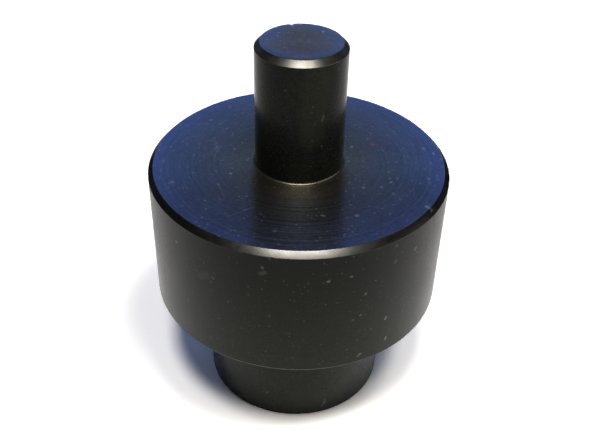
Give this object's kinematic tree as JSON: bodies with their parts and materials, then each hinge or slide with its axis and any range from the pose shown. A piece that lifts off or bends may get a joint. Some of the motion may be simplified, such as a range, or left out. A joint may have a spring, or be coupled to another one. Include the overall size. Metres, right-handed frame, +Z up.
{
  "type": "rivet setting anvil",
  "caption": "Turned steel anvil for setting rivets: a locating spigot, a heavy flange and a slim replaceable pin that backs the rivet head.",
  "frame": {"origin": "centre of the spigot's end face, which the anvil stands on", "axes": "+Z up along the common axis of the spigot, the flange and the pin, towards the pin's end; X and Y are square to it and otherwise free, because every outer surface is round"},
  "size_m": [0.075, 0.075, 0.1],
  "materials": {
    "blackened_body": "turned and chemically blackened, blue sheen on the faced top",
    "hardened_pin": "hardened, ground and blackened",
    "black_screw": "rolled thread, black oxide",
    "spring_steel": "plain spring steel, oiled"
  },
  "bodies": {
    "root": {"anvil_body": "blackened_body", "anvil_pin": "hardened_pin", "retaining_screw": "black_screw", "lock_washer": "spring_steel"}
  },
  "joints": []
}
